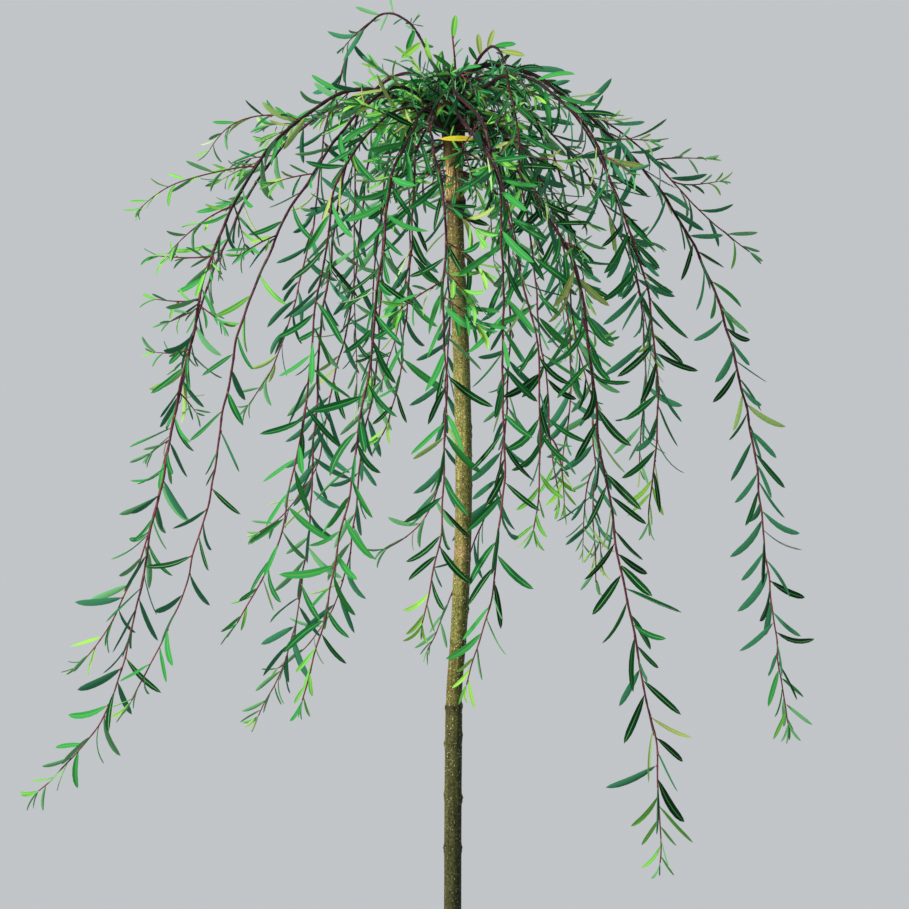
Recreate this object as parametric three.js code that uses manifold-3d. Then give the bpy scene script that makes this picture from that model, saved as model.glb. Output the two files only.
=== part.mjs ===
// A small grafted weeping willow: one straight stem with a flat foot, a swollen
// graft head, short boughs that leave the head all round, and foliage that
// arches over and hangs in separate falls about the open space under the crown.
// Millimetres, +Z up, origin on the axis of the stem at ground level.
import * as THREE from 'three';
import { mergeVertices } from 'three/addons/utils/BufferGeometryUtils.js';
import Module from 'manifold-3d';

const wasm = await Module();
wasm.setup();
const { Manifold } = wasm;

// ---------------------------------------------------------------- sizes (mm)
const GAP = 0.45;                 // clear space kept between neighbouring solids
const STEM_TOP = 1300;            // top of the graft head
const STEM_SIDES = 12;
const FLARE_RADIUS = 17.5;        // root flare at the flat cut
const FLARE_HEIGHT = 75;
const STEM_RADIUS_LOW = 10.6;
const STEM_RADIUS_HIGH = 9.7;
const GRAFT_HEIGHT = 1148;        // graft union, a slightly swollen band
const GRAFT_SWELL = 1.1;
const HEAD_HEIGHT = 1246;         // middle of the knobbly head
const HEAD_SWELL = 7.5;
const HEAD_HALF = 42;
const BOUGH_ROOT_RADIUS = 4.6;
const BOUGH_TIP_RADIUS = 2.3;
const BOUGH_SIDES = 6;
const MASS_SIDES = 7;
const MASS_RING_STEP = 62;        // distance between rings along a mass
const UNEVENNESS = 0.17;          // share of the radius that swells and sinks
const LEAF_TIP_REACH = 12;        // leaves go this far past the end of a shoot

// Sideways sway of the stem: heights and offsets from the axis.
const SWAY_HEIGHTS = [0, 540, 612, 700, 780, 900, 972, 1080, 1160, 1300];
const SWAY_ACROSS = [0, 1.2, 6.4, 11.2, 13.2, 11.6, 9.4, 4.2, 2.4, -1.2];
const SWAY_DEPTH = [0, 2.0, 2.6, 3.0, 2.8, 1.6, 0.8, -0.6, -0.8, 0];

// Shares of a shoot's length at which its pitch and its turn are stated.
const PITCH_AT = [0, 0.06, 0.14, 0.25, 0.4, 0.6, 0.8, 1];
const TURN_AT = [0, 0.15, 0.35, 1];

// Main shoots. root: height where it leaves the head. azimuth: first heading,
// counterclockwise from +X seen from above. pitch: degrees above level along
// the shoot. turn: change of heading along it.
const SHOOTS = [
  { name: 'left_long', root: 1225, azimuth: 196, length: 1095, pitch: [19, 36, -29, -55, -77, -79, -78, -33], turn: [-9, -15, -15] },
  { name: 'left_back', root: 1239, azimuth: 130, length: 989, pitch: [8, 30, -5, -46, -67, -79, -75, -44], turn: [29, 51, 47] },
  { name: 'left_front', root: 1247, azimuth: 231, length: 922, pitch: [-5, 29, -38, -55, -66, -83, -73, -56], turn: [-11, -52, -47] },
  { name: 'top_loop', root: 1271, azimuth: 108, length: 818, pitch: [33, 26, 51, 22, -65, -83, -74, -54], turn: [5, 29, 75] },
  { name: 'rear_left_long', root: 1257, azimuth: 115, length: 1019, pitch: [19, 38, -10, -78, -81, -88, -83, -59], turn: [18, 49, 63] },
  { name: 'front_left', root: 1237, azimuth: 246, length: 822, pitch: [-4, 1, -2, -34, -79, -84, -78, -54], turn: [4, -33, -68] },
  { name: 'front_left_long', root: 1232, azimuth: 245, length: 897, pitch: [-14, 17, -23, -29, -81, -80, -79, -74], turn: [19, 3, -80] },
  { name: 'rear_left_sweep', root: 1247, azimuth: 108, length: 1051, pitch: [8, 32, 5, -38, -93, -78, -84, -28], turn: [-5, 10, 80] },
  { name: 'rear_left_short', root: 1242, azimuth: 110, length: 813, pitch: [19, 11, 22, -30, -88, -76, -79, -24], turn: [-1, 31, 76] },
  { name: 'front_middle', root: 1257, azimuth: 265, length: 821, pitch: [3, 1, -34, -19, -65, -95, -85, -74], turn: [-9, 23, -73] },
  { name: 'rear_middle', root: 1264, azimuth: 103, length: 802, pitch: [37, 19, -20, -35, -95, -87, -87, -12], turn: [-22, 1, 80] },
  { name: 'rear_right_long', root: 1248, azimuth: 105, length: 1007, pitch: [22, 24, -9, -20, -95, -88, -67, -64], turn: [-50, -10, 80] },
  { name: 'front_long', root: 1238, azimuth: 266, length: 895, pitch: [5, 9, -33, -17, -70, -95, -82, -69], turn: [15, 23, -80] },
  { name: 'front_right_short', root: 1279, azimuth: 274, length: 725, pitch: [5, 9, -33, -20, -74, -73, -91, -95], turn: [-7, 36, 80] },
  { name: 'front_right_long', root: 1223, azimuth: 294, length: 1027, pitch: [25, -34, -22, -50, -85, -80, -78, -95], turn: [-2, 45, 65] },
  { name: 'rear_right', root: 1257, azimuth: 74, length: 922, pitch: [15, 21, 17, -20, -78, -80, -91, -87], turn: [-1, -38, -79] },
  { name: 'right_front', root: 1247, azimuth: 288, length: 735, pitch: [5, 16, 14, -37, -67, -76, -93, -95], turn: [23, 65, 80] },
  { name: 'right_long', root: 1272, azimuth: 8, length: 1009, pitch: [72, -3, -38, -44, -65, -80, -85, -78], turn: [-3, -7, -7] },
  { name: 'right_rear_spray', root: 1263, azimuth: 55, length: 515, pitch: [27, 43, 3, -16, -18, -41, -47, -33], turn: [-18, -27, -60] },
  { name: 'right_rear', root: 1252, azimuth: 73, length: 771, pitch: [17, 27, 22, -20, -48, -68, -92, -95], turn: [7, -58, -80] },
  { name: 'front_loop', root: 1289, azimuth: 306, length: 692, pitch: [-49, 45, 4, -61, -76, -82, -85, -81], turn: [-18, -17, 70] },
  { name: 'front_right_tuft', root: 1229, azimuth: 295, length: 473, pitch: [-12, 9, -7, -31, -66, -79, -82, -69], turn: [-3, 55, 60] },
  { name: 'rear_right_tuft', root: 1237, azimuth: 72, length: 637, pitch: [19, 26, 3, -38, -73, -79, -95, -95], turn: [-4, -54, -80] },
  { name: 'rear_tuft', root: 1271, azimuth: 102, length: 557, pitch: [-4, 41, 2, -9, -77, -93, -75, -76], turn: [-2, 13, 80] },
  { name: 'front_tuft', root: 1249, azimuth: 258, length: 536, pitch: [4, 12, -34, -26, -82, -88, -82, -61], turn: [3, -14, -80] },
  { name: 'top_sprig', root: 1275, azimuth: 282, length: 83, pitch: [-14, 66, 45, 41, 53, 64, 78, 83], turn: [-8, -12, -43] },
  // side shoots that stand clear of the falls
  { name: 'left_spray_upper', parent: 'left_long', at: 0.19, azimuth: 176, length: 122, pitch: [30, 22, 8, 0, -8, -24, -48, -60], turn: [4, 8, 12] },
  { name: 'left_spray_lower', parent: 'left_long', at: 0.26, azimuth: 190, length: 148, pitch: [8, -4, -10, -12, -14, -18, -34, -44], turn: [-4, -8, -12] },
];

// Boughs: the bare first part of these shoots, to this share of the length.
const BOUGHS = {
  left_long: 0.1, left_back: 0.1, left_front: 0.1, top_loop: 0.13,
  rear_left_long: 0.1, rear_middle: 0.12, rear_right_long: 0.1, rear_right: 0.1,
  right_long: 0.1, right_front: 0.12, front_right_long: 0.09, front_middle: 0.11,
  front_left_long: 0.1,
};

// Masses over the shoulder of the crown, from where the bough ends.
const SHOULDERS = {
  left_long: { to: 0.34, radius: 48 },
  left_back: { to: 0.34, radius: 46 },
  left_front: { to: 0.35, radius: 46 },
  top_loop: { to: 0.43, radius: 26 },
  rear_left_long: { to: 0.31, radius: 46 },
  rear_middle: { to: 0.38, radius: 42 },
  rear_right_long: { to: 0.36, radius: 44 },
  rear_right: { to: 0.34, radius: 46 },
  right_long: { to: 0.33, radius: 46 },
  right_front: { to: 0.39, radius: 48 },
  front_right_long: { to: 0.31, radius: 47 },
  front_middle: { to: 0.37, radius: 42 },
  front_left_long: { to: 0.36, radius: 46 },
};

// Hanging masses. breaks: shares of the length at which one ends and the next
// begins, so that a fall that bends is in two pieces.
const FALLS = {
  left_long: { breaks: [0.33, 0.66, 1], radius: 36 },
  left_back: { breaks: [0.33, 0.72, 1], radius: 31 },
  left_front: { breaks: [0.34, 1], radius: 31 },
  top_loop: { breaks: [0.42, 1], radius: 30 },
  rear_left_long: { breaks: [0.3, 1], radius: 31 },
  front_left: { breaks: [0.3, 1], radius: 32 },
  front_left_long: { breaks: [0.35, 1], radius: 32 },
  rear_left_sweep: { breaks: [0.3, 1], radius: 31 },
  rear_left_short: { breaks: [0.34, 1], radius: 29 },
  front_middle: { breaks: [0.36, 1], radius: 32 },
  rear_middle: { breaks: [0.37, 1], radius: 30 },
  rear_right_long: { breaks: [0.35, 1], radius: 30 },
  front_long: { breaks: [0.3, 1], radius: 32 },
  front_right_short: { breaks: [0.3, 1], radius: 32 },
  front_right_long: { breaks: [0.3, 0.64, 1], radius: 31 },
  rear_right: { breaks: [0.33, 1], radius: 32 },
  right_front: { breaks: [0.38, 1], radius: 34 },
  right_long: { breaks: [0.32, 0.64, 1], radius: 32 },
  right_rear: { breaks: [0.36, 1], radius: 30 },
  front_loop: { breaks: [0.12, 0.4, 1], radius: 29 },
  front_right_tuft: { breaks: [0.32, 1], radius: 38 },
  rear_right_tuft: { breaks: [0.34, 1], radius: 32 },
  rear_tuft: { breaks: [0.34, 1], radius: 31 },
  front_tuft: { breaks: [0.34, 1], radius: 31 },
};

// Short clear-standing masses.
const SPRAYS = {
  right_rear_spray: { from: 0.3, radius: 34 },
  top_sprig: { from: 0.3, radius: 13 },
  left_spray_upper: { from: 0.12, radius: 22 },
  left_spray_lower: { from: 0.12, radius: 24 },
};

// ------------------------------------------------------------------- helpers
function randomFrom(seed) {           // small repeatable generator
  let s = seed >>> 0;
  return () => {
    s = (s + 0x6d2b79f5) >>> 0;
    let t = Math.imul(s ^ (s >>> 15), 1 | s);
    t = (t + Math.imul(t ^ (t >>> 7), 61 | t)) ^ t;
    return ((t ^ (t >>> 14)) >>> 0) / 4294967296;
  };
}

function lookUp(x, xs, ys) {
  if (x <= xs[0]) return ys[0];
  for (let i = 1; i < xs.length; i += 1) {
    if (x <= xs[i]) return THREE.MathUtils.mapLinear(x, xs[i - 1], xs[i], ys[i - 1], ys[i]);
  }
  return ys[ys.length - 1];
}

function smoothLookUp(x, xs, ys) {    // same, with eased steps
  let i = 1;
  while (i < xs.length - 1 && x > xs[i]) i += 1;
  const t = THREE.MathUtils.clamp((x - xs[i - 1]) / (xs[i] - xs[i - 1]), 0, 1);
  const slope = (k) => {
    if (k === 0 || k === xs.length - 1) return 0;
    return (ys[k + 1] - ys[k - 1]) / (xs[k + 1] - xs[k - 1]);
  };
  const w = xs[i] - xs[i - 1];
  const t2 = t * t;
  const t3 = t2 * t;
  return (2 * t3 - 3 * t2 + 1) * ys[i - 1] + (t3 - 2 * t2 + t) * w * slope(i - 1)
    + (-2 * t3 + 3 * t2) * ys[i] + (t3 - t2) * w * slope(i);
}

const stemCentre = (z) => new THREE.Vector3(
  smoothLookUp(z, SWAY_HEIGHTS, SWAY_ACROSS), smoothLookUp(z, SWAY_HEIGHTS, SWAY_DEPTH), z);

// A shoot as points a fixed share of its length apart, found by walking along
// its pitch and heading.
const STEPS = 120;
const paths = {};
function walk(shoot) {
  const rad = THREE.MathUtils.degToRad;
  const a = rad(shoot.azimuth);
  const p = shoot.parent
    ? pointOn(shoot.parent, shoot.at)
    : stemCentre(shoot.root).setX(4 * Math.cos(a)).setY(4 * Math.sin(a));
  const points = [p.clone()];
  for (let i = 0; i < STEPS; i += 1) {
    const s = (i + 0.5) / STEPS;
    const pitch = rad(lookUp(s, PITCH_AT, shoot.pitch));
    const heading = rad(shoot.azimuth + lookUp(s, TURN_AT, [0, ...shoot.turn]));
    const step = shoot.length / STEPS;
    p.x += step * Math.cos(pitch) * Math.cos(heading);
    p.y += step * Math.cos(pitch) * Math.sin(heading);
    p.z += step * Math.sin(pitch);
    points.push(p.clone());
  }
  return points;
}
function pointOn(name, s) {
  const points = paths[name];
  const f = THREE.MathUtils.clamp(s, 0, 1) * STEPS;
  const i = Math.min(Math.floor(f), STEPS - 1);
  return points[i].clone().lerp(points[i + 1], f - i);
}
for (const shoot of SHOOTS) paths[shoot.name] = walk(shoot);

// Stations along a path with a frame that doesn't twist.
function stations(name, from, to, count, past = 0) {
  const list = [];
  let across = null;
  for (let i = 0; i <= count; i += 1) {
    const s = THREE.MathUtils.lerp(from, to, i / count);
    const at = pointOn(name, s);
    const along = pointOn(name, Math.min(s + 0.02, 1))
      .sub(pointOn(name, Math.max(s - 0.02, 0))).normalize();
    if (!across) {
      const side = new THREE.Vector3(0, 0, 1);
      if (Math.abs(along.z) > 0.9) side.set(1, 0, 0);
      across = side.cross(along).normalize();
    } else {
      across.addScaledVector(along, -across.dot(along)).normalize();
    }
    if (i === count && past > 0) at.addScaledVector(along, past);
    list.push({ at, along, across: across.clone(), other: along.clone().cross(across) });
  }
  return list;
}
function stationAt(list, u) {
  const f = THREE.MathUtils.clamp(u, 0, 1) * (list.length - 1);
  const i = Math.min(Math.floor(f), list.length - 2);
  const t = f - i;
  const a = list[i];
  const b = list[i + 1];
  return {
    at: a.at.clone().lerp(b.at, t),
    across: a.across.clone().lerp(b.across, t).normalize(),
    other: a.other.clone().lerp(b.other, t).normalize(),
  };
}

function toManifold(geometry) {
  geometry.deleteAttribute('normal');
  geometry.deleteAttribute('uv');
  const merged = mergeVertices(geometry, 1e-4);
  return new Manifold(new wasm.Mesh({
    numProp: 3,
    vertProperties: Float32Array.from(merged.attributes.position.array),
    triVerts: Uint32Array.from(merged.index.array),
  }));
}
function toGeometry(solid) {
  const mesh = solid.getMesh();
  const geometry = new THREE.BufferGeometry();
  const positions = new Float32Array(mesh.numVert * 3);
  for (let i = 0; i < mesh.numVert; i += 1) {
    for (let k = 0; k < 3; k += 1) positions[3 * i + k] = mesh.vertProperties[mesh.numProp * i + k];
  }
  geometry.setAttribute('position', new THREE.BufferAttribute(positions, 3));
  geometry.setIndex(new THREE.BufferAttribute(Uint32Array.from(mesh.triVerts), 1));
  geometry.computeVertexNormals();
  return geometry;
}

// A limb: a cylinder bent along stations, its radius a function of the share.
function limb(list, sides, radiusAt, grow = 0) {
  const rings = list.length - 1;
  const geometry = new THREE.CylinderGeometry(1, 1, 1, sides, rings);
  const pos = geometry.attributes.position;
  for (let i = 0; i < pos.count; i += 1) {
    const u = pos.getY(i) + 0.5;
    const angle = Math.atan2(pos.getZ(i), pos.getX(i));
    const on = Math.hypot(pos.getX(i), pos.getZ(i));
    const st = stationAt(list, u);
    const r = on < 1e-6 ? 0 : radiusAt(u, angle) + grow;
    // the cylinder's +Y runs along the path, so +Z takes the minus side
    const v = st.at.addScaledVector(st.across, r * Math.cos(angle))
      .addScaledVector(st.other, -r * Math.sin(angle));
    if (grow && (u < 1e-6 || u > 1 - 1e-6)) {
      const end = u < 0.5 ? list[0] : list[rings];
      v.addScaledVector(end.along, u < 0.5 ? -grow : grow);
    }
    pos.setXYZ(i, v.x, v.y, v.z);
  }
  return toManifold(geometry);
}

// A mass: a sphere drawn out along stations, with uneven girth of its own.
function mass(list, sides, radius, seed, hanging, grow = 0) {
  const rings = Math.max(5, list.length - 1);
  const random = randomFrom(seed);
  const phase = [random(), random(), random(), random()].map((x) => x * Math.PI * 2);
  const waist = 0.8 + 0.4 * random();
  const geometry = new THREE.SphereGeometry(1, sides, rings);
  const pos = geometry.attributes.position;
  for (let i = 0; i < pos.count; i += 1) {
    const y = THREE.MathUtils.clamp(-pos.getY(i), -1, 1);
    // rings crowd towards the ends, which keeps them blunt
    const even = Math.acos(-y) / Math.PI;
    const u = 0.45 * even + 0.55 * (1 + y) / 2;
    const angle = Math.atan2(pos.getZ(i), pos.getX(i));
    const st = stationAt(list, u);
    // full near the top, drawn to a tip at the foot of a hanging mass
    const round = Math.sin(Math.PI * even) ** 0.7;
    const fall = hanging ? 1.08 - 0.5 * u ** 1.5 : 1;
    let girth = radius * round * fall;
    girth *= 1 + UNEVENNESS * (0.6 * Math.sin(2 * angle + phase[0] + 5 * u)
      + 0.4 * Math.sin(3 * angle + phase[1] - 8 * u * waist)
      + 0.55 * Math.sin(9.5 * u * waist + phase[2]) + 0.3 * Math.sin(21 * u + phase[3]));
    const pole = u < 1e-6 || u > 1 - 1e-6;
    const r = pole ? 0 : girth + grow;
    const v = st.at.addScaledVector(st.across, r * Math.cos(angle))
      .addScaledVector(st.other, r * Math.sin(angle));
    if (pole && grow) {
      const end = u < 0.5 ? list[0] : list[list.length - 1];
      v.addScaledVector(end.along, u < 0.5 ? -grow : grow);
    }
    pos.setXYZ(i, v.x, v.y, v.z);
  }
  let solid = toManifold(geometry);
  if (solid.volume() < 0) throw new Error('a mass is inside out');
  return solid;
}

// ------------------------------------------------------------------ materials
const stemBark = new THREE.MeshStandardMaterial({ color: 0x8b8253, roughness: 0.72, metalness: 0 });
const shootBark = new THREE.MeshStandardMaterial({ color: 0x4a3034, roughness: 0.55, metalness: 0 });
const leafGreens = [0x2f6b3a, 0x3b7d3f, 0x4b8c45, 0x2a5f46, 0x5a9a4a].map((color) => (
  new THREE.MeshStandardMaterial({ color, roughness: 0.6, metalness: 0 })));

// ----------------------------------------------------------------------- stem
function stemRadius(z, angle) {
  const taper = THREE.MathUtils.mapLinear(z, 0, STEM_TOP, STEM_RADIUS_LOW, STEM_RADIUS_HIGH);
  const flare = z < FLARE_HEIGHT
    ? (FLARE_RADIUS - STEM_RADIUS_LOW) * (1 - z / FLARE_HEIGHT) ** 2.2 * (1 + 0.16 * Math.sin(3 * angle + 0.7))
    : 0;
  const graft = GRAFT_SWELL * Math.exp(-(((z - GRAFT_HEIGHT) / 13) ** 2));
  const head = HEAD_SWELL * Math.exp(-(((z - HEAD_HEIGHT) / HEAD_HALF) ** 2))
    * (1 + 0.22 * Math.sin(4 * angle + z * 0.05));
  const crown = z > STEM_TOP - 14 ? 1 - 0.045 * (z - (STEM_TOP - 14)) : 1;
  return (taper + flare + graft + head) * crown;
}
const stemHeights = [0, 14, 32, 54, FLARE_HEIGHT, 300, 480, 540, 575, 612, 655, 700, 740, 780,
  840, 900, 972, 1030, 1080, 1126, GRAFT_HEIGHT, 1170, 1196, 1214, 1232, 1250, 1268, 1286, STEM_TOP];
function stem(grow = 0) {
  const rings = stemHeights.length - 1;
  const geometry = new THREE.CylinderGeometry(1, 1, 1, STEM_SIDES, rings);
  const pos = geometry.attributes.position;
  for (let i = 0; i < pos.count; i += 1) {
    const u = pos.getY(i) + 0.5;
    const z = lookUp(u * rings, stemHeights.map((_, k) => k), stemHeights);
    const angle = Math.atan2(pos.getZ(i), pos.getX(i));
    const on = Math.hypot(pos.getX(i), pos.getZ(i)) > 1e-6 ? 1 : 0;
    const r = on * (stemRadius(z, angle) + grow);
    const c = stemCentre(z);
    const lift = grow && u > 1 - 1e-6 ? grow : 0;
    pos.setXYZ(i, c.x + r * Math.cos(angle), c.y - r * Math.sin(angle), z + lift);
  }
  return toManifold(geometry);
}

// ------------------------------------------------------------------- assembly
const group = new THREE.Group();
const placed = [];                    // grown copies of what is already there
const report = {};
function place(name, solid, grown, material) {
  let body = solid;
  const box = body.boundingBox();
  for (const other of placed) {
    const apart = [0, 1, 2].some((k) => other.box.min[k] > box.max[k] || other.box.max[k] < box.min[k]);
    if (!apart) body = body.subtract(other.solid);
  }
  const pieces = body.decompose().sort((a, b) => b.volume() - a.volume());
  if (!pieces.length || pieces[0].volume() < 0.25 * solid.volume()) {
    report[name] = 'crowded out';
    return;
  }
  body = pieces[0].asOriginal().simplify(0.12);
  const extra = body.decompose();
  if (extra.length > 1) body = extra.sort((a, b) => b.volume() - a.volume())[0];
  const mesh = new THREE.Mesh(toGeometry(body), material);
  mesh.name = name;
  group.add(mesh);
  placed.push({ solid: grown, box: grown.boundingBox() });
  report[name] = body.numTri();
}

place('trunk', stem(), stem(GAP), stemBark);

for (const [name, to] of Object.entries(BOUGHS)) {
  const list = stations(name, 0, to, 6);
  const radiusAt = (u, angle) => THREE.MathUtils.lerp(BOUGH_ROOT_RADIUS, BOUGH_TIP_RADIUS, u ** 0.8)
    * (1 + 0.06 * Math.sin(2 * angle + 7 * u));
  place(`bough_${name}`, limb(list, BOUGH_SIDES, radiusAt), limb(list, BOUGH_SIDES, radiusAt, GAP), shootBark);
}

let seed = 11;
function placeMass(name, path, from, to, radius, hanging, last) {
  seed += 7;
  const length = paths[path].length ? SHOOTS.find((s) => s.name === path).length * (to - from) : 0;
  const rings = Math.max(6, Math.round(length / MASS_RING_STEP));
  const list = stations(path, from, to, rings, last ? LEAF_TIP_REACH : 0);
  const green = leafGreens[seed % leafGreens.length];
  place(name, mass(list, MASS_SIDES, radius, seed, hanging),
    mass(list, MASS_SIDES, radius, seed, hanging, GAP), green);
}

for (const [name, m] of Object.entries(SHOULDERS)) {
  placeMass(`shoulder_${name}`, name, BOUGHS[name] - 0.005, m.to, m.radius, false, false);
}
for (const [name, m] of Object.entries(SPRAYS)) {
  placeMass(`spray_${name.replace('_spray', '')}`, name, m.from, 1, m.radius, false, true);
}
for (const [name, m] of Object.entries(FALLS)) {
  for (let i = 0; i + 1 < m.breaks.length; i += 1) {
    const last = i === m.breaks.length - 2;
    const part = m.breaks.length === 2 ? '' : last ? '_lower' : '_upper';
    placeMass(`fall_${name}${part}`, name, m.breaks[i] - (i ? 0.03 : 0.045), m.breaks[i + 1],
      m.radius, last, last);
  }
}

export default group;
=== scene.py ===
# A small grafted weeping willow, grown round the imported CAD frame.
# Metres, +Z up, the same frame as the CAD. Everything is seeded.
import math

import bpy
import numpy as np
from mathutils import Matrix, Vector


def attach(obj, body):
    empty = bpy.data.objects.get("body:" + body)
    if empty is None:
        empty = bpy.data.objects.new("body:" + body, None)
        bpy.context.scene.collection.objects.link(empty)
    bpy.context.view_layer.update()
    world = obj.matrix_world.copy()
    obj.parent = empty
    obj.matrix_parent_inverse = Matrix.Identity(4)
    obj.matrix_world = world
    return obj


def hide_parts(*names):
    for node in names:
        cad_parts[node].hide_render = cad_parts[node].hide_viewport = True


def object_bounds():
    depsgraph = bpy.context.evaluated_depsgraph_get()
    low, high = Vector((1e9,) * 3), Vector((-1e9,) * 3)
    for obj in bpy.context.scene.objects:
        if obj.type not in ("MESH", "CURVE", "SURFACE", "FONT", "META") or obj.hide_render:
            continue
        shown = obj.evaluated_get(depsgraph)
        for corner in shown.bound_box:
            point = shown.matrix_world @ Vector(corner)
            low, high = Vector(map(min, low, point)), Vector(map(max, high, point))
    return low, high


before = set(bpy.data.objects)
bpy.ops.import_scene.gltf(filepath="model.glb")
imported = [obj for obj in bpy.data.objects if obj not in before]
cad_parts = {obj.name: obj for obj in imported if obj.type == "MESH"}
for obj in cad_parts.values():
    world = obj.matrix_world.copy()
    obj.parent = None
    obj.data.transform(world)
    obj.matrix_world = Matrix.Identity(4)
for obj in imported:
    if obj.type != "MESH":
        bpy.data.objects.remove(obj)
cad_box = [list(map(float, v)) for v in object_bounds()]

rng = np.random.default_rng(20417)
MM = 0.001

# ------------------------------------------------------------ shoots (mm, deg)
PITCH_AT = [0, 0.06, 0.14, 0.25, 0.4, 0.6, 0.8, 1]
TURN_AT = [0, 0.15, 0.35, 1]
STEM_TOP = 1300.0
SWAY_HEIGHTS = [0, 540, 612, 700, 780, 900, 972, 1080, 1160, 1300]
SWAY_ACROSS = [0, 1.2, 6.4, 11.2, 13.2, 11.6, 9.4, 4.2, 2.4, -1.2]
SWAY_DEPTH = [0, 2.0, 2.6, 3.0, 2.8, 1.6, 0.8, -0.6, -0.8, 0]

# name: root, azimuth, length, pitch, turn, thickness at the head,
# how leafy its side growth is, group
SHOOTS = {
    "left_long": (1225, 196, 1095, [19, 36, -29, -55, -77, -79, -78, -33], [-9, -15, -15], 3.6, 0.9, "left"),
    "left_back": (1239, 130, 989, [8, 30, -5, -46, -67, -79, -75, -44], [29, 51, 47], 3.0, 0.65, "left"),
    "left_front": (1247, 231, 922, [-5, 29, -38, -55, -66, -83, -73, -56], [-11, -52, -47], 3.0, 0.5, "left"),
    "top_loop": (1271, 108, 818, [33, 26, 51, 22, -65, -83, -74, -54], [5, 29, 75], 2.7, 0.3, "rear"),
    "rear_left_long": (1257, 115, 1019, [19, 38, -10, -78, -81, -88, -83, -59], [18, 49, 63], 3.2, 0.45, "rear"),
    "front_left": (1237, 246, 822, [-4, 1, -2, -34, -79, -84, -78, -54], [4, -33, -68], 2.5, 0.4, "front"),
    "front_left_long": (1232, 245, 897, [-14, 17, -23, -29, -81, -80, -79, -74], [19, 3, -80], 3.2, 0.35, "front"),
    "rear_left_sweep": (1247, 108, 1051, [8, 32, 5, -38, -93, -78, -84, -28], [-5, 10, 80], 3.0, 0.4, "rear"),
    "rear_left_short": (1242, 110, 813, [19, 11, 22, -30, -88, -76, -79, -24], [-1, 31, 76], 2.5, 0.35, "rear"),
    "front_middle": (1257, 265, 821, [3, 1, -34, -19, -65, -95, -85, -74], [-9, 23, -73], 2.8, 0.35, "front"),
    "rear_middle": (1264, 103, 802, [37, 19, -20, -35, -95, -87, -87, -12], [-22, 1, 80], 2.6, 0.5, "rear"),
    "rear_right_long": (1248, 105, 1007, [22, 24, -9, -20, -95, -88, -67, -64], [-50, -10, 80], 2.9, 0.5, "rear"),
    "front_long": (1238, 266, 895, [5, 9, -33, -17, -70, -95, -82, -69], [15, 23, -80], 2.8, 0.35, "front"),
    "front_right_short": (1279, 274, 725, [5, 9, -33, -20, -74, -73, -91, -95], [-7, 36, 80], 3.2, 0.5, "front"),
    "front_right_long": (1223, 294, 1027, [25, -34, -22, -50, -85, -80, -78, -95], [-2, 45, 65], 3.4, 0.5, "right"),
    "rear_right": (1257, 74, 922, [15, 21, 17, -20, -78, -80, -91, -87], [-1, -38, -79], 3.0, 0.5, "rear"),
    "right_front": (1247, 288, 735, [5, 16, 14, -37, -67, -76, -93, -95], [23, 65, 80], 3.2, 0.75, "right"),
    "right_long": (1272, 8, 1009, [72, -3, -38, -44, -65, -80, -85, -78], [-3, -7, -7], 3.5, 0.2, "right"),
    "right_rear_spray": (1263, 55, 515, [27, 43, 3, -16, -18, -41, -47, -33], [-18, -27, -60], 2.5, 0.6, "right"),
    "right_rear": (1252, 73, 771, [17, 27, 22, -20, -48, -68, -92, -95], [7, -58, -80], 2.6, 0.8, "right"),
    "front_loop": (1289, 306, 692, [-49, 45, 4, -61, -76, -82, -85, -81], [-18, -17, 70], 2.4, 0.6, "front"),
    "front_right_tuft": (1229, 295, 473, [-12, 9, -7, -31, -66, -79, -82, -69], [-3, 55, 60], 2.4, 0.9, "right"),
    "rear_right_tuft": (1237, 72, 637, [19, 26, 3, -38, -73, -79, -95, -95], [-4, -54, -80], 2.4, 0.65, "rear"),
    "rear_tuft": (1271, 102, 557, [-4, 41, 2, -9, -77, -93, -75, -76], [-2, 13, 80], 2.3, 0.45, "rear"),
    "front_tuft": (1249, 258, 536, [4, 12, -34, -26, -82, -88, -82, -61], [3, -14, -80], 2.3, 0.55, "front"),
    "top_sprig": (1275, 282, 83, [-14, 66, 45, 41, 53, 64, 78, 83], [-8, -12, -43], 1.2, 0.6, "front"),
}
# how far apart a shoot's own leaves stand, where not as on the rest
LEAF_GAP = {"left_front": 1.5, "left_back": 1.15, "top_loop": 1.15, "right_long": 0.86, "right_front": 0.86,
            "front_right_long": 0.92, "front_long": 1.1, "rear_left_short": 1.3, "rear_left_sweep": 1.25,
            "rear_tuft": 1.2, "front_right_short": 1.1, "rear_right_tuft": 1.2, "right_rear_spray": 1.15}
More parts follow.
